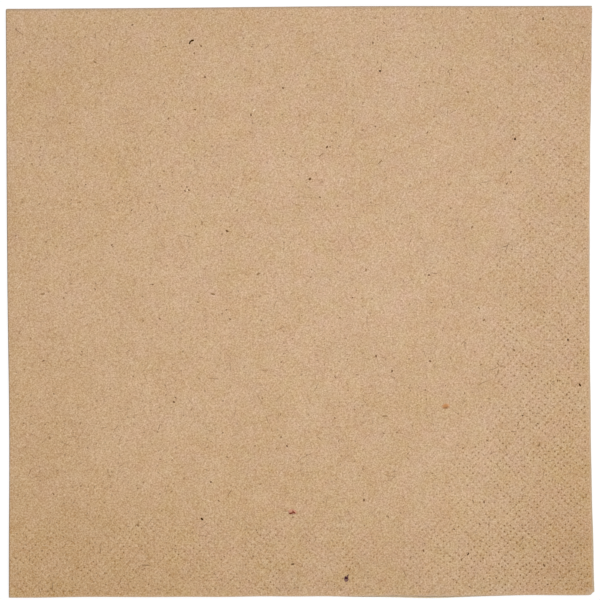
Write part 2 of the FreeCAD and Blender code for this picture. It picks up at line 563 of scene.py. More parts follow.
# %% How hard the roller pressed
def field_strength(tree, place):
    """How hard the roller pressed at a place, and how far the place is inside the cut edges."""
    x, y, _ = tree.parts(place)
    wander = tree.noise(place, FIELD_CLOUD, detail=1, seed=0.2) * FIELD_WANDER
    from_side = tree.given["Side"] - x
    from_edge = y - tree.given["Edge"]
    side_depth = from_side + wander
    waist = y.ramp(*WAIST_ABOVE) * y.ramp(*WAIST_BELOW)
    reach = y.ramp(*SIDE_REACH) - waist * WAIST
    side = (reach - side_depth).ramp(*INNER_FADE) * y.ramp(*SIDE_BY_HEIGHT)
    side = side * side_depth.ramp(*SIDE_BY_DEPTH)
    edge = (from_edge + wander).ramp(*EDGE_BY_DEPTH) * x.ramp(*EDGE_BY_WIDTH)
    weak = x.ramp(*WEAK_FROM) * x.ramp(*WEAK_TO)
    patches = tree.noise(place, PATCH_SIZE, detail=2, seed=0.7) * PATCHINESS + 1
    strength = side.math("MAXIMUM", edge) * (patches * (1 - weak * WEAKENING))
    return strength, from_side.math("MINIMUM", from_edge)


# %% The net, and a cup on each of its dots
def net_of_points(tree):
    """The points of the grid that are dots, and their place after the turn of the roller."""
    given = tree.given
    size = given["Steps"] - 1
    grid_inputs = {"Size X": size, "Size Y": size}
    grid_inputs.update({"Vertices X": given["Steps"], "Vertices Y": given["Steps"]})
    grid = tree.add("GeometryNodeMeshGrid", inputs=grid_inputs)[0]
    across, up, _ = tree.parts(tree.position())
    half = STEPS_IN_DIAMOND / 2
    steps = across.math("PINGPONG", half) + up.math("PINGPONG", half)
    on_ring = (steps % STEPS_TO_RINGS).math("COMPARE", STEPS_LEFT, 0.1)
    grid = tree.without(grid, 1 - on_ring)
    turn_cos, turn_sin = given["Turn"].math("COSINE"), given["Turn"].math("SINE")
    step_x, step_y = across * given["Step across"], up * given["Step up"]
    x = step_x * turn_cos - step_y * turn_sin + given["Middle x"]
    y = step_x * turn_sin + step_y * turn_cos + given["Middle y"]
    return tree.moved(grid, Position=tree.join(x, y, 0))


def cup_on_each(tree, points, pressed):
    """A small round cup on each point, as deep as it is pressed."""
    given = tree.given
    disc_inputs = {"Vertices": given["Sides"], "Radius": 1.0}
    disc = tree.add("GeometryNodeMeshCircle", {"fill_type": "TRIANGLE_FAN"}, disc_inputs)[0]
    length = tree.add("ShaderNodeVectorMath", {"operation": "LENGTH"}, {0: tree.position()})[1]
    cup = tree.moved(disc, Selection=length < 0.5, Offset=(0, 0, -1))
    depth = pressed.math("MINIMUM", 1) * given["Depth"]
    scale = tree.join(given["Radius"], given["Radius"], depth)
    on_points = {"Points": points, "Instance": cup, "Scale": scale}
    return tree.add("GeometryNodeInstanceOnPoints", inputs=on_points)[0]


# %% The tree that puts them together
def dot_tree(values):
    tree = GeometryTree("embossed_dots", values)
    grid = net_of_points(tree)
    strength, room = field_strength(tree, tree.position())
    luck_inputs = {RANDOM_LOW: DOT_LUCK[0], RANDOM_HIGH: DOT_LUCK[1], "Seed": tree.given["Seed"]}
    random = tree.add("FunctionNodeRandomValue", {"data_type": "FLOAT"}, luck_inputs)
    luck = random[RANDOM_NUMBER]
    strength = (strength * luck).math("MINIMUM", STRONGEST_DOT)
    stored = {"Geometry": grid, "Name": "pressed", "Value": strength}
    settings = {"data_type": "FLOAT", "domain": "POINT"}
    grid = tree.add("GeometryNodeStoreNamedAttribute", settings, stored)[0]
    pressed = tree.named("pressed")
    gone = (pressed < FAINTEST_DOT).math("MAXIMUM", room < DOT_TO_EDGE)
    tree.finish(cup_on_each(tree, tree.without(grid, gone), pressed))
    return tree


# %% The dots of one face
def stamped_dots(sides):
    """Each cup's corners and, last, its middle, with their depths, and how hard it is pressed."""
    shift_x = DIAMONDS_TO_MIDDLE * DIAMOND_WIDTH
    shift_y = DIAMONDS_TO_MIDDLE * DIAMOND_HEIGHT
    turn_cos, turn_sin = math.cos(EMBOSS_TURN), math.sin(EMBOSS_TURN)
    values = {
        "Step across": DIAMOND_WIDTH / STEPS_IN_DIAMOND,
        "Step up": DIAMOND_HEIGHT / STEPS_IN_DIAMOND,
        "Turn": EMBOSS_TURN,
        "Middle x": DIAMOND_X - shift_x * turn_cos - shift_y * turn_sin,
        "Middle y": DIAMOND_Y - shift_x * turn_sin + shift_y * turn_cos,
        "Steps": 2 * (DIAMONDS_TO_MIDDLE + 1) * STEPS_IN_DIAMOND + 1,
        "Side": OUTER_SIDE_X - SIDE_BOW - UPPER_SIDE_SKEW,
        "Edge": CUT_EDGE_Y + LOWER_EDGE_SKEW / 2,
        "Radius": CUP_RADIUS,
        "Depth": CUP_DEPTH,
        "Sides": sides,
        "Seed": DOT_SEED,
        "Material": tissue_material,
    }
    mesh = mesh_from(dot_tree(values), bpy.data.meshes.new("dots"), values)
    corners = np.array([v.co for v in mesh.vertices]).reshape(-1, sides + 1, 3)
    strength = np.array([v.value for v in mesh.attributes["pressed"].data])
    return corners, strength.reshape(-1, sides + 1)[:, 0]


dots, dot_strength = stamped_dots(CUP_SIDES)
print("dots:", len(dots), "mean strength", round(float(dot_strength.mean()), 2))

# %% [markdown]
# ## Outlines of the layers
#
# Each layer is bounded by the two fold lines and the two cut edges. The side edge curves in, the
# upper and the lower pair are each a little skewed, and the free corner is rounded. A point of the
# outline carries the direction out of the sheet there, which the cut edge's own faces use.

# %% Where each layer ends: its turns, its side, the skews of side and edge, and its corner
EDGE_SAMPLES = 127
CORNER_SAMPLES = 7
LAYERS = {
    "lowest": (0.0, 0.0, OUTER_SIDE_X, 0.0, LOWER_EDGE_SKEW, LOWER_CORNER),
    "second": (HALF_TURN, 0.0, INNER_SIDE_X, 0.0, LOWER_EDGE_SKEW, LOWER_CORNER),
    "third": (HALF_TURN, HALF_TURN, INNER_SIDE_X, UPPER_SIDE_SKEW, 0.0, UPPER_CORNER),
    "top": (0.0, HALF_TURN, OUTER_SIDE_X, UPPER_SIDE_SKEW, 0.0, UPPER_CORNER),
}
shares = np.linspace(0, 1, EDGE_SAMPLES)
fold_ys = CUT_EDGE_Y + shares * (SECOND_FOLD_Y - CUT_EDGE_Y)


def cut_outline(side_x, side_skew, edge_skew, corner):
    """Rows x, y, outward x, outward y, along the lower edge, round the corner and up the side."""
    corner_x = side_x - side_skew
    start_y = CUT_EDGE_Y + edge_skew + corner
    edge_x = FIRST_FOLD_X + shares * (corner_x - corner - FIRST_FOLD_X)
    flat = np.zeros_like(shares)
    lower_edge = np.column_stack([edge_x, CUT_EDGE_Y + shares * edge_skew, flat, flat - 1])
    turns = np.linspace(0, HALF_TURN / 2, CORNER_SAMPLES)[1:-1]
    out_x, out_y = np.sin(turns), -np.cos(turns)
    arc_x = corner_x - corner + corner * out_x
    corner_arc = np.column_stack([arc_x, start_y + corner * out_y, out_x, out_y])
    bow = SIDE_BOW * 4 * shares * (1 - shares)
    side_ys = start_y + shares * (SECOND_FOLD_Y - start_y)
    side = np.column_stack([corner_x + shares * side_skew - bow, side_ys, flat + 1, flat])
    return np.vstack([lower_edge, corner_arc, side])


print("outline points of the top layer:", len(cut_outline(*LAYERS["top"][2:])))

# %% [markdown]
# ## Filling a layer's face with triangles
#
# The outer faces hold about three and a half thousand cups each, in a field with a curved border.
# A grid can't follow that. A constrained Delaunay triangulation can: it joins scattered points
# with well-shaped triangles, and keeps the outline and the rim of each cup as edges. A row of
# points just inside the cut edges lets the edge have a tone of its own, and a loose grid of points
# between lets the sheet wave.

# %% Points for one face
EDGE_LINE = 0.35 * MM
CORNER_ROOM = 1.4 * MM
OUTER_GRID = 2.2 * MM
INNER_GRID = 6.0 * MM
INNER_EDGE_LINE = 0.7 * MM
EDGE_LINE_ROOM = 0.9
GRID_TO_EDGE = 0.9 * MM
GRID_TO_DOT = 0.6 * MM
GRID_LOOSENESS = 0.2
GRID_SEED = 8
CUP_TO_EDGE = 0.7 * MM
KEEP_EDGES = 1
SAME_POINT = 1e-6


def inside(places, outline, clearance):
    """Which places lie in the layer, at least this far from its edges."""
    x, y = places[:, 0], places[:, 1]
    lower_edge, side = outline[:EDGE_SAMPLES], outline[-EDGE_SAMPLES:]
    side_x = np.interp(y, side[:, 1], side[:, 0])
    edge_y = np.interp(x, lower_edge[:, 0], lower_edge[:, 1])
    keep = (x > FIRST_FOLD_X + clearance) & (y < SECOND_FOLD_Y - clearance)
    keep &= (x < side_x - clearance) & (y > edge_y + clearance)
    corner_x, corner_y = side[0, 0], lower_edge[-1, 1]
    return keep & ((x < corner_x - CORNER_ROOM) | (y > corner_y + CORNER_ROOM))


def scattered(outline, spacing, dot_places):
    """A loose, uneven grid of points inside the layer, clear of the dots."""
    draw = np.random.default_rng(GRID_SEED)
    xs = np.arange(FIRST_FOLD_X, OUTER_SIDE_X, spacing)
    ys = np.arange(CUT_EDGE_Y, SECOND_FOLD_Y, spacing)
    places = np.stack(np.meshgrid(xs, ys), axis=-1).reshape(-1, 2)
    places = places + draw.uniform(-GRID_LOOSENESS, GRID_LOOSENESS, places.shape) * spacing
    places = places[inside(places, outline, GRID_TO_EDGE)]
    finder = kdtree.KDTree(len(dot_places))
    for index, place in enumerate(dot_places):
        finder.insert((*place, 0), index)
    finder.balance()
    clear = [not finder.find_range((*place, 0), GRID_TO_DOT) for place in places]
    return places[np.array(clear)]


def rows_of(places, shade=0.0):
    """Rows x, y, dent, in a dot, strength of the press, edge shade, for points without a dent."""
    plain = np.zeros((len(places), 6))
    plain[:, :2] = places
    plain[:, 5] = shade
    return plain


# %% Triangulate one face
def filled_face(outline, with_dots):
    """One face of one layer: its rows, and its triangles as three row numbers each."""
    fold_line = rows_of(np.column_stack([np.full_like(fold_ys, FIRST_FOLD_X), fold_ys])[::-1])
    cut_line = rows_of(outline[:, :2], 1.0)
    second_x = outline[-1, 0] + shares * (FIRST_FOLD_X - outline[-1, 0])
    second_line = rows_of(np.column_stack([second_x, np.full_like(second_x, SECOND_FOLD_Y)]))
    border = np.vstack([fold_line[:-1], cut_line[:-1], second_line[:-1]])
    edges = [(i, (i + 1) % len(border)) for i in range(len(border))]
    edge_line = EDGE_LINE if with_dots else INNER_EDGE_LINE
    ring = outline[:, :2] - outline[:, 2:] * edge_line
    ring = ring[inside(ring, outline, edge_line * EDGE_LINE_ROOM)]
    kept = inside(dots[:, -1, :2], outline, CUP_TO_EDGE) & with_dots
    cups, strength = dots[kept], dot_strength[kept]
    spacing = OUTER_GRID if with_dots else INNER_GRID
    rows = [border, rows_of(ring), rows_of(scattered(outline, spacing, cups[:, -1, :2]))]
    first = sum(len(block) for block in rows)
    corners = cups.shape[1]
    sides = corners - 1
    for start in range(first, first + len(cups) * corners, corners):
        edges += [(start + i, start + (i + 1) % sides) for i in range(sides)]
    cup_rows = rows_of(cups[:, :, :2].reshape(-1, 2))
    cup_rows[:, 2] = -cups[:, :, 2].reshape(-1)
    cup_rows[sides::corners, 3] = 1
    cup_rows[:, 4] = np.repeat(strength, corners)
    rows = np.vstack([*rows, cup_rows])
    flat = [Vector(place) for place in rows[:, :2] / MM]
    result = delaunay_2d_cdt(flat, edges, [], KEEP_EDGES, SAME_POINT)
    faces, sources = result[2:4]
    added = sum(not source for source in sources)
    if added:
        print("points that the triangulation had to add:", added)
    return rows[[source[0] for source in sources]], faces


# %% [markdown]
# ## One closed sheet
#
# The faces, the bends of the two folds and the cut edges are collected in one list of sheet points.
# The neighbours repeat the same points along their common lines, so that merging by distance sews
# them into one closed mesh. At a cut edge the two plies show: each is a little round, with a line
# between them where they part.

# %% Collect the sheet's points and faces
PLY_DEPTHS = np.array([0, 0.25, 0.5, 0.75, 1]) * SHEET
PLY_REACH = np.array([0, 0.03, -0.05, 0.03, 0]) * MM
FIRST_TURNS = np.linspace(0, HALF_TURN, 11)
SECOND_TURNS = np.linspace(0, HALF_TURN, 17)
AT_CUT_EDGE = (np.arange(EDGE_SAMPLES) == 0).astype(float)
COLUMNS = ("x", "first_turn", "y", "second_turn", "depth", "in_dot", "press", "edge")


class Sheet:
    """Points of the sheet, as rows of COLUMNS, and its faces."""

    def __init__(self):
        self.rows = []
        self.faces = []
        self.count = 0

    def add(self, rows, faces):
        self.rows.append(rows)
        self.faces += [tuple(self.count + i for i in face) for face in faces]
        self.count += len(rows)

    def add_grid(self, down, across, **values):
        """A grid of four-sided faces. Each value is a number or an array that fills the grid."""
        shape = (down, across)
        columns = [np.broadcast_to(values.get(name, 0.0), shape).reshape(-1) for name in COLUMNS]
        corners = [row * across + column for row in range(down - 1) for column in range(across - 1)]
        faces = [(i, i + 1, i + across + 1, i + across) for i in corners]
        self.add(np.column_stack(columns), faces)


# %% The faces, the cut edges and the bends
def add_faces(sheet):
    for name, (first_turn, second_turn, *limits) in LAYERS.items():
        outline = cut_outline(*limits)
        outer = name in ("lowest", "top")
        for depth in (0.0, SHEET):
            rows, faces = filled_face(outline, outer and depth == 0.0)
            x, y, dent = rows[:, :3].T
            turned = [x, np.full_like(x, first_turn), y, np.full_like(x, second_turn)]
            sheet.add(np.column_stack([*turned, depth + dent, rows[:, 3:]]), faces)
            print(name, "layer, face at depth", depth / MM, "mm:", len(faces), "triangles")


def add_cut_edges(sheet):
    for first_turn, second_turn, *limits in LAYERS.values():
        outline = cut_outline(*limits)
        x = outline[:, :1] + outline[:, 2:3] * PLY_REACH
        y = outline[:, 1:2] + outline[:, 3:] * PLY_REACH
        turns = {"first_turn": first_turn, "second_turn": second_turn}
        sheet.add_grid(*x.shape, x=x, y=y, depth=PLY_DEPTHS, edge=1.0, **turns)


def add_bends(sheet):
    """The bends of both folds, and the cut edges at their ends."""
    first, second = FIRST_TURNS[:, None], SECOND_TURNS[:, None]
    sides = ((0.0, OUTER_SIDE_X), (HALF_TURN, INNER_SIDE_X))
    for depth in (0.0, SHEET):
        for turn in (0.0, HALF_TURN):
            line = {"x": FIRST_FOLD_X, "y": fold_ys, "depth": depth, "edge": AT_CUT_EDGE}
            sheet.add_grid(len(first), EDGE_SAMPLES, first_turn=first, second_turn=turn, **line)
        for turn, side_x in sides:
            xs = side_x + shares * (FIRST_FOLD_X - side_x)
            line = {"x": xs, "y": SECOND_FOLD_Y, "depth": depth, "edge": AT_CUT_EDGE}
            sheet.add_grid(len(second), EDGE_SAMPLES, first_turn=turn, second_turn=second, **line)
        corner = {"x": FIRST_FOLD_X, "y": SECOND_FOLD_Y, "depth": depth}
        turns = {"first_turn": first, "second_turn": second.T}
        sheet.add_grid(len(first), len(second), **turns, **corner)
    plies = {"depth": PLY_DEPTHS, "edge": 1.0}
    for turn in (0.0, HALF_TURN):
        place = {"x": FIRST_FOLD_X, "y": CUT_EDGE_Y - PLY_REACH, "second_turn": turn}
        sheet.add_grid(len(first), len(PLY_DEPTHS), first_turn=first, **place, **plies)
    for turn, side_x in sides:
        place = {"x": side_x + PLY_REACH, "y": SECOND_FOLD_Y, "first_turn": turn}
        sheet.add_grid(len(second), len(PLY_DEPTHS), second_turn=second, **place, **plies)


sheet = Sheet()
add_faces(sheet)
add_cut_edges(sheet)
add_bends(sheet)
print("sheet points:", sheet.count, "faces:", len(sheet.faces))

# %% [markdown]
# ## The give of soft paper
#
# Folded by the formula alone, the sheet is as true as sheet metal. Real tissue springs up a little
# at its folds, waves by a few tenths of a millimetre, and its edges wander. Cloth simulation could
# do it, but it moves everything at once and shrinks. Here each kind of give is one small smooth
# function, read off the photograph, so that each can be seen and changed by itself.
#
# What swells is the air between the layers, not the paper: each layer is lifted by a share of how
# far it lies above the lowest one. The lowest stays on the table, and no layer can pass through the
# next.

# %% How the layers swell apart, as shares of their height, and over what distance
LEFT_PUFF = 0.30
TOP_PUFF = 0.22
PUFF_REACH = 7 * MM
CORNER_LIFT = 0.50
CORNER_WIDTH = 26 * MM
CORNER_HEIGHT = 22 * MM
WAVES = ((0.45, 34 * MM, 2.5), (0.14, 13 * MM, 7.5))
WAVE_FLOOR = 0.06


def hump(values, height, middle, half_width):
    return height * np.exp(-(((values - middle) / half_width) ** 2))


def soft_noise(x, y, size, seed):
    places = np.column_stack([x / size, y / size, np.full_like(x, seed)])
    return np.array([noise.noise(place) for place in places])


def swell(x, y):
    """By what share the layers stand further apart at a place."""
    left = LEFT_PUFF * np.exp((low.x - x) / PUFF_REACH)
    top = TOP_PUFF * np.exp((y - high.y) / PUFF_REACH)
    corner = hump(x, CORNER_LIFT, high.x, CORNER_WIDTH) * hump(y, 1, low.y, CORNER_HEIGHT)
    waves = sum(height * soft_noise(x, y, size, seed) for height, size, seed in WAVES)
    return left + top + corner + (waves + np.sqrt(waves**2 + WAVE_FLOOR**2)) / 2


# %% How folds and edges stray: how far, where along the line, and half the width of the hump
LEFT_DENT = (0.27 * MM, -27 * MM, 24 * MM)
RIGHT_BULGE = (0.12 * MM, 45 * MM, 25 * MM)
TOP_BULGE = (0.20 * MM, 11 * MM, 32 * MM)
LOWER_DENT = (0.08 * MM, -45 * MM, 25 * MM)
LOWER_PAIR_BULGE = (-0.43 * MM, 26 * MM, 12 * MM)
WOBBLE = 0.10 * MM
WOBBLE_SIZE = 9 * MM
WOBBLE_SEED = 4.5
FOLD_DEPTH = 12 * MM
LOWER_EDGE_DEPTH = 8 * MM
SIDE_DEPTH = 4 * MM


def on_top(first_turn, second_turn):
    """1 on the top layer, and less round its folds down to 0."""
    return (1 + np.cos(first_turn)) / 2 * (1 - np.cos(second_turn)) / 2


def wander(x, y, second_turn, under_top):
    """How far the folds and the cut edges of each pair stray in the plane."""
    near_left = np.exp((low.x - x) / FOLD_DEPTH)
    near_top = np.exp((y - high.y) / FOLD_DEPTH)
    near_edge = np.exp((low.y - y) / LOWER_EDGE_DEPTH)
    near_side = np.exp((x - high.x) / SIDE_DEPTH)
    pair = second_turn * WOBBLE_SIZE
    across = hump(y, *LEFT_DENT) * near_left + hump(y, *RIGHT_BULGE) * near_side
    across += WOBBLE * soft_noise(y, pair, WOBBLE_SIZE, WOBBLE_SEED) * near_side
    up = hump(x, *TOP_BULGE) * near_top + hump(x, *LOWER_DENT) * near_edge
    up += hump(x, *LOWER_PAIR_BULGE) * near_edge * under_top
    up += WOBBLE * soft_noise(x, pair, WOBBLE_SIZE, WOBBLE_SEED) * near_edge
    return across, up


# %% Sew the sheet
MERGE_DISTANCE = 0.0005 * MM
SHARP_ANGLE = math.radians(50)
MARKS = ("in_dot", "press", "edge", "lower_edge", "fold")


def sewn_mesh(sheet, name):
    rows = np.vstack(sheet.rows)
    flat_x, first_turn, flat_y, second_turn, depth = rows[:, :5].T
    x, y, z = folded(flat_x, first_turn, flat_y, second_turn, depth)
    middle_z = folded(flat_x, first_turn, flat_y, second_turn, SHEET / 2)[2]
    under_top = 1 - on_top(first_turn, second_turn)
    across, up = wander(x, y, second_turn, under_top)
    lift = swell(x, y) * (middle_z - SHEET / 2)
    places = np.column_stack([x + across, y + up, z + lift])
    # How far the sheet has turned sideways round a fold, where the tissue paints its fold shade.
    fold = np.maximum(np.sin(first_turn), np.sin(second_turn))
    # The lower layers' cut edges are marked here for the painted light that pales them.
    marks = np.column_stack([rows[:, 5:], rows[:, 7] * under_top, fold])
    work = bmesh.new()
    layers = [work.verts.layers.float.new(label) for label in MARKS]
    verts = [work.verts.new(place) for place in places]
    for vert, row in zip(verts, marks):
        for layer, mark in zip(layers, row):
            vert[layer] = mark
    for face in sheet.faces:
        work.faces.new([verts[i] for i in face])
    bmesh.ops.remove_doubles(work, verts=work.verts, dist=MERGE_DISTANCE)
    bmesh.ops.recalc_face_normals(work, faces=work.faces)
    open_edges = sum(not edge.is_manifold for edge in work.edges)
    volume = round(work.calc_volume() / MM**3, 1)
    print("open or crowded edges:", open_edges, "volume, mm3:", volume)
    mesh = bpy.data.meshes.new(name)
    work.to_mesh(mesh)
    work.free()
    return mesh


napkin_mesh = sewn_mesh(sheet, "napkin_sheet")
napkin_mesh.shade_smooth()
napkin_mesh.set_sharp_from_angle(angle=SHARP_ANGLE)
napkin_mesh.materials.append(tissue_material)
napkin = new_object("napkin_sheet", napkin_mesh)
triangles = sum(len(face.vertices) - 2 for face in napkin_mesh.polygons)
print("triangles in the sheet:", triangles)

# %% [markdown]
# ## Bark flecks and loose fibres
#
# Unbleached pulp keeps specks of bark, and recycled pulp adds fibres of other colours. The largest
# are landmarks in the photograph, so they are listed one by one, in its pixels. The many small ones
# are scattered by chance with a fixed seed.
#
# A fleck and a fibre are the same spindle, short and wide or long and thin. Geometry Nodes put one
# on each point of a start mesh, whose attributes say how long, wide and turned it is, and a noise
# makes it ragged. They lie half sunk in the top layer, which is how the pulp holds them.

# %% From photograph pixels to the napkin
PHOTO_PIXELS = 600
NAPKIN_TALL_PIXELS = 589.1
PHOTO_MIDDLE = (300.15, 301.75)
PHOTO_TURN = math.radians(0.29)
PIXEL = (high.y - low.y) / NAPKIN_TALL_PIXELS


def on_napkin(pixel_x, pixel_y):
    right = (pixel_x - PHOTO_MIDDLE[0]) * PIXEL
    up = (PHOTO_MIDDLE[1] - pixel_y) * PIXEL
    turn_cos, turn_sin = math.cos(PHOTO_TURN), math.sin(PHOTO_TURN)
    return right * turn_cos + up * turn_sin, up * turn_cos - right * turn_sin


# %% Landmark flecks: pixel x, pixel y, length and width in pixels, turn in degrees
FLECK_COLOURS = {
    "bark": (0.062, 0.024, 0.003),
    "brown": (0.180, 0.092, 0.036),
    "faint": (0.340, 0.205, 0.095),
    "red": (0.200, 0.042, 0.018),
    "orange": (0.520, 0.250, 0.100),
    "peach": (0.610, 0.340, 0.175),
    "blush": (0.590, 0.300, 0.195),
    "navy": (0.055, 0.015, 0.020),
    "plum": (0.250, 0.135, 0.112),
    "pale": (0.860, 0.680, 0.480),
}
LANDMARKS = {
    "bark": [
        (190, 42.4, 4.0, 1.9, 72), (192.2, 40.6, 4.0, 2.3, 18), (380, 71, 2.6, 2.0, 4),
        (515, 139, 2.7, 2.3, 90), (202, 519, 3.2, 2.2, 127), (580, 385, 3.2, 2.1, 119),
        (468, 554, 3.0, 1.5, 51), (568, 340, 2.7, 2.0, 90), (522.5, 415.5, 2.0, 1.5, 0),
    ],
    "brown": [
        (373, 43, 3.2, 1.5, 90), (201, 46, 2.2, 1.6, 159), (283, 88, 2.8, 1.9, 104),
        (251, 115, 2.8, 1.6, 97), (327, 147, 3.0, 1.9, 70), (310, 179, 3.2, 2.6, 10),
        (187, 187, 1.9, 1.5, 0), (185, 191, 2.3, 1.5, 134), (511, 172, 3.0, 1.6, 65),
        (227, 231, 3.4, 2.3, 150), (112, 245, 2.2, 1.4, 40), (230, 319, 2.4, 1.5, 157),
        (376, 356, 2.6, 2.0, 106), (392, 371, 2.8, 1.8, 87), (430, 361, 2.4, 2.0, 0),
        (174, 402, 2.6, 1.9, 159), (211, 482, 2.3, 2.0, 0), (364, 500, 2.8, 1.9, 88),
        (484, 502, 2.9, 1.7, 99), (287, 446, 2.3, 1.6, 127), (293, 564, 2.8, 2.0, 0),
        (544, 565, 3.2, 1.8, 123), (543, 19, 3.6, 1.8, 84), (429, 275, 2.3, 1.9, 0),
    ],
    "faint": [
        (95, 62, 3.9, 2.0, 136), (468, 92, 3.1, 2.6, 170), (160, 186, 2.4, 2.2, 44),
        (202, 223, 5.0, 1.5, 94), (472, 227, 2.6, 2.2, 57), (258, 274, 4.0, 2.0, 43),
        (366, 270, 3.0, 2.1, 74), (213, 294, 4.5, 2.4, 169), (484, 320, 3.4, 2.2, 45),
        (43, 294, 4.6, 1.7, 2), (385, 416, 5.6, 1.7, 0), (146, 565, 9.0, 1.5, 0),
        (380, 162, 7.0, 1.2, 45), (321, 155, 6.0, 1.1, 38), (539, 445, 4.0, 2.2, 53),
        (498, 364, 4.6, 1.2, 130), (502, 366, 4.4, 1.2, 5), (498, 372, 7.0, 1.0, 78),
        (518, 424, 7.0, 1.0, 65), (108, 471, 4.5, 1.1, 90), (110, 476, 4.5, 1.0, 120),
        (514, 350, 3.0, 2.2, 132), (138, 525, 3.4, 2.6, 130), (50, 438, 3.0, 1.6, 92),
    ],
    "orange": [(445.6, 406.2, 5.6, 4.4, 10)],
    "peach": [(445.8, 406.2, 8.6, 6.6, 10)],
    "blush": [(292.4, 511.8, 9.0, 6.4, 170)],
    "red": [(291.2, 513.2, 5.0, 1.7, 19), (293.7, 512, 4.2, 1.6, 142)],
    "navy": [(346.4, 578, 3.6, 2.3, 0), (345.4, 576.8, 1.7, 1.5, 0), (347.9, 575.4, 2.8, 1.4, 62)],
    "plum": [(346.3, 578.9, 6.0, 5.2, 90)],
    "pale": [(254, 110, 3.4, 1.6, 45), (187, 190, 1.8, 1.2, 90)],
}

# %% The spindle tree
SPINDLE_SIDES = 6
SPINDLE_RINGS = 7
RAGGED_NOISE = 0.3 * MM
CURL_NOISE = 2.2 * MM


def spindles_on(tree, points):
    """A small ball laid on its side on each point, drawn out to that point's reach."""
    given = tree.given
    ball_inputs = {"Segments": given["Sides"], "Rings": given["Rings"], "Radius": 1.0}
    ball = tree.add("GeometryNodeMeshUVSphere", inputs=ball_inputs)[0]
    lying = {"Geometry": ball, "Rotation": (0, math.radians(90), 0)}
    spindle = tree.add("GeometryNodeTransform", inputs=lying)[0]
    on_points = {"Points": points, "Instance": spindle}
    on_points["Scale"] = tree.named("reach", "FLOAT_VECTOR")
    on_points["Rotation"] = tree.join(0, 0, tree.named("turn"))
    placed = tree.add("GeometryNodeInstanceOnPoints", inputs=on_points)[0]
    return tree.add("GeometryNodeRealizeInstances", inputs={"Geometry": placed})[0]


def spindle_tree(values):
    tree = GeometryTree("flecks_and_fibres", values)
    given = tree.given
    loose = spindles_on(tree, given["Mesh"])
    place = tree.position()
    push = (0, 0, 0)
    for size, amount in ((CURL_NOISE, given["Curl"]), (RAGGED_NOISE, given["Ragged"])):
        aside = tree.vector_math("SUBTRACT", tree.noise_vector(place, size), (0.5, 0.5, 0.5))
        push = tree.vector_math("MULTIPLY_ADD", aside, tree.join(amount, amount, 0), push)
    tree.finish(tree.moved(loose, Offset=push))
    return tree


# %% Their own finish
FLECK_SURFACE = {"Roughness": 0.9, "Specular IOR Level": 0.0}
FLECK_CLOUD = 0.35 * MM
FLECK_UNEVENNESS = 0.7


def fleck_finish():
    material = bpy.data.materials.new("bark_and_fibre")
    tree = fresh_tree(material)
    place = tree.add("ShaderNodeTexCoord")[OBJECT_PLACE]
    uneven = tree.noise(place, FLECK_CLOUD, detail=2) * FLECK_UNEVENNESS + 1
    light = tree.join(uneven, uneven, uneven)
    colour = tree.vector_math("MULTIPLY", tree.mark("fleck_colour", MARK_COLOUR), light)
    show(tree, "ShaderNodeBsdfPrincipled", {"Base Color": colour, **FLECK_SURFACE})
    return material


# %% Scatter the small ones and make both pieces
FLECK_THICKNESS = 0.03 * MM
HALOS = {"orange": 0.014 * MM, "peach": 0.007 * MM, "blush": 0.007 * MM, "plum": 0.010 * MM}
SPINDLE_TO_EDGE = 1.5 * MM
SMALL_FLECKS = {"count": 170, "lengths": (0.25, 0.6), "widths": (0.18, 0.35), "seed": 21}
DARK_FIBRES = {"count": 260, "lengths": (0.8, 2.6), "widths": (0.05, 0.12), "seed": 24}
PALE_FIBRES = {"count": 260, "lengths": (0.8, 2.4), "widths": (0.05, 0.12), "seed": 23}


def chance_spindles(first_colour, second_colour, count, lengths, widths, seed):
    """Rows x, y, length, width, height, turn, red, green, blue, anywhere on the top layer."""
    draw = np.random.default_rng(seed)
    outline = cut_outline(*LAYERS["top"][2:])
    places = draw.uniform((low.x, low.y), (high.x, high.y), (2 * count, 2))
    places = places[inside(places, outline, SPINDLE_TO_EDGE)][:count]
    count = len(places)
    sizes = np.column_stack([draw.uniform(*lengths, count), draw.uniform(*widths, count)]) * MM
    mix = draw.uniform(0, 1, (count, 1))
    tint = np.array(first_colour) * (1 - mix) + np.array(second_colour) * mix
    heights = np.full(count, FLECK_THICKNESS)
    turns = draw.uniform(0, 2 * math.pi, count)
    return np.column_stack([places, sizes, heights, turns, tint])


def landmark_spindles():
    rows = []
    for kind, spots in LANDMARKS.items():
        for pixel_x, pixel_y, length, width, turn in spots:
            size = (length * PIXEL, width * PIXEL, HALOS.get(kind, FLECK_THICKNESS))
            place = on_napkin(pixel_x, pixel_y)
            rows.append((*place, *size, math.radians(turn), *FLECK_COLOURS[kind]))
    return np.array(rows)


def spindle_piece(name, rows, ragged, curl):
    start = bpy.data.meshes.new(name + "_start")
    start.from_pydata([(x, y, 0) for x, y in rows[:, :2]], [], [])
    opaque = np.column_stack([rows[:, 6:], np.ones(len(rows))])
    for label, kind, field, column in (
        ("reach", "FLOAT_VECTOR", "vector", rows[:, 2:5] / 2),
        ("turn", "FLOAT", "value", rows[:, 5]),
        ("fleck_colour", "FLOAT_COLOR", "color", opaque),
    ):
        attribute = start.attributes.new(label, kind, "POINT")
        attribute.data.foreach_set(field, column.astype(np.float32).ravel())
    values = {"Sides": SPINDLE_SIDES, "Rings": SPINDLE_RINGS, "Ragged": ragged, "Curl": curl}
    values["Material"] = fleck_material
    mesh = mesh_from(spindle_tree(values), start, values)
    places = np.array([v.co for v in mesh.vertices])
    places[:, 2] += high.z + swell(places[:, 0], places[:, 1]) * (high.z - SHEET)
    mesh.vertices.foreach_set("co", places.astype(np.float32).ravel())
    mesh.shade_smooth()
    print(name, len(rows), "spindles,", len(mesh.polygons), "faces")
    return new_object(name, mesh)


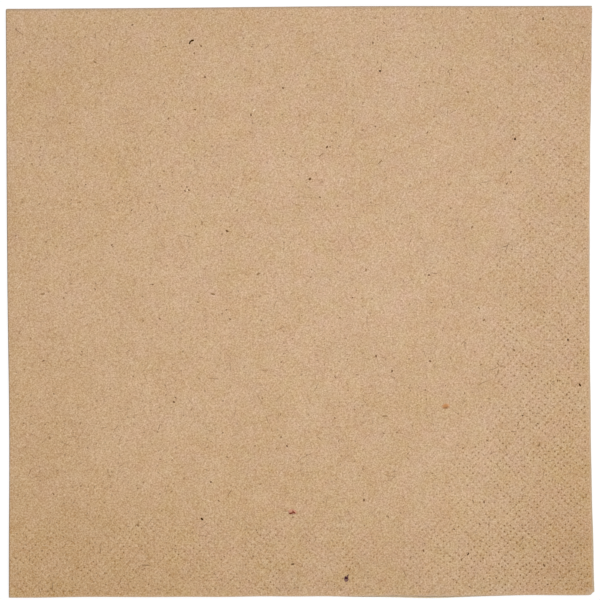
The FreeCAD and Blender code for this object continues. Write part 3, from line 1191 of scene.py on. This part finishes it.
fleck_material = fleck_finish()
faint, brown, pale = (FLECK_COLOURS[kind] for kind in ("faint", "brown", "pale"))
small_flecks = chance_spindles(faint, brown, **SMALL_FLECKS)
dark_fibres = chance_spindles(faint, brown, **DARK_FIBRES)
pale_fibres = chance_spindles(pale, PAPER[:3], **PALE_FIBRES)
fleck_rows = np.vstack([landmark_spindles(), small_flecks])
flecks = spindle_piece("bark_flecks", fleck_rows, ragged=0.14 * MM, curl=0.0)
fibre_rows = np.vstack([dark_fibres, pale_fibres])
fibres = spindle_piece("loose_fibres", fibre_rows, ragged=0.05 * MM, curl=0.9 * MM)

# %% [markdown]
# ## The floor, the light and the camera
#
# The napkin was photographed from straight above on white. A plain pale floor does for it, and a
# Light Path node makes the floor white to the camera while it still takes the napkin's thin shadow.
# A lamp close above, a broad one from the upper right and an even white world light the paper at
# about the level at which a colour looks as it is written.
#
# The camera looks straight down through a long lens, because the photograph shows no perspective.
# Its frame is 600 pixels wide, and the napkin's width in pixels sets the scale.

# %% Floor and world
FLOOR_SIZE = 1.2
FLOOR_COLOUR = (0.8, 0.8, 0.8, 1)
WHITE = (1, 1, 1, 1)
WHITE_SEEN = 1.06
FLOOR_SHARE_SEEN = 0.9
WORLD_LIGHT = 0.296
CAMERA_RAY, GLOSSY_RAY, TRANSMISSION_RAY = 0, 3, 6


def camera_sees(tree):
    paths = tree.add("ShaderNodeLightPath")
    straight_or_glossy = paths[CAMERA_RAY].math("MAXIMUM", paths[GLOSSY_RAY])
    return straight_or_glossy.math("MAXIMUM", paths[TRANSMISSION_RAY])


def pale_floor():
    material = bpy.data.materials.new("pale_floor")
    tree = fresh_tree(material)
    diffuse = tree.add("ShaderNodeBsdfDiffuse", inputs={"Color": FLOOR_COLOUR})[0]
    white = tree.add("ShaderNodeEmission", inputs={"Strength": WHITE_SEEN})[0]
    mixed = {0: camera_sees(tree) * FLOOR_SHARE_SEEN, 1: diffuse, 2: white}
    show(tree, "ShaderNodeMixShader", mixed)
    return material


def white_world():
    world = bpy.data.worlds.new("studio")
    tree = fresh_tree(world)
    strength = camera_sees(tree).ramp(0, 1, WORLD_LIGHT, WHITE_SEEN)
    background = {"Color": WHITE, "Strength": strength}
    light = tree.add("ShaderNodeBackground", inputs=background)[0]
    tree.add("ShaderNodeOutputWorld", inputs={"Surface": light})
    return world


floor_mesh = bpy.data.meshes.new("floor")
half_floor = FLOOR_SIZE / 2
floor_corners = [(x, y, 0) for x, y in ((-1, -1), (1, -1), (1, 1), (-1, 1))]
floor_mesh.from_pydata([Vector(c) * half_floor for c in floor_corners], [], [(0, 1, 2, 3)])
floor_mesh.materials.append(pale_floor())
floor = new_object("floor", floor_mesh)
bpy.context.scene.world = white_world()

# %% Lamps
def soft_lamp(name, place, size, watts):
    data = bpy.data.lights.new(name, "AREA")
    data.size = size
    data.energy = watts
    lamp = new_object(name, data)
    lamp.location = place
    lamp.rotation_euler = Vector(place).to_track_quat("Z", "Y").to_euler()
    lamp.visible_camera = False


soft_lamp("overhead_lamp", place=(0.012, 0.005, 0.26), size=0.16, watts=0.40)
soft_lamp("side_lamp", place=(0.5, 1.1, 1.1), size=0.6, watts=7.8)

# %% Camera
CAMERA_HEIGHT = 1.2
CAMERA_SIGHT = 10
camera_data = bpy.data.cameras.new("camera")
camera_data.lens = camera_data.sensor_width * CAMERA_HEIGHT / (PHOTO_PIXELS * PIXEL)
camera_data.clip_end = CAMERA_SIGHT
camera = new_object("camera", camera_data)
aside = (PHOTO_PIXELS / 2 - PHOTO_MIDDLE[0]) * PIXEL
above = (PHOTO_MIDDLE[1] - PHOTO_PIXELS / 2) * PIXEL
camera.location = (aside, above, high.z + CAMERA_HEIGHT)
camera.rotation_euler = (0, 0, -PHOTO_TURN)
bpy.context.scene.camera = camera
bpy.context.scene.view_settings.view_transform = "Standard"
print("lens, mm:", round(camera_data.lens, 1), "pixel, mm:", round(PIXEL / MM, 4))

# %% [markdown]
# ## Tie the pieces to the frame
#
# The sheet replaces the plain solid and rides on the napkin's one body. Its flat size is what the
# unfolded sheet measures: both layers and the bend across, and the longer way round upwards.

# %% Tie to the frame, and measure the flat sheet
flat_width = OUTER_SIDE_X + INNER_SIDE_X - 2 * FIRST_FOLD_X + HALF_TURN * (FIRST_RADIUS - SHEET / 2)
flat_height = 2 * (SECOND_FOLD_Y - CUT_EDGE_Y) + HALF_TURN * (SECOND_RADIUS - SHEET / 2)
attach(napkin, "root")
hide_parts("napkin")
for piece in (flecks, fibres):
    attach(piece, "root")
print("flat sheet, mm:", round(flat_width / MM, 1), "by", round(flat_height / MM, 1))
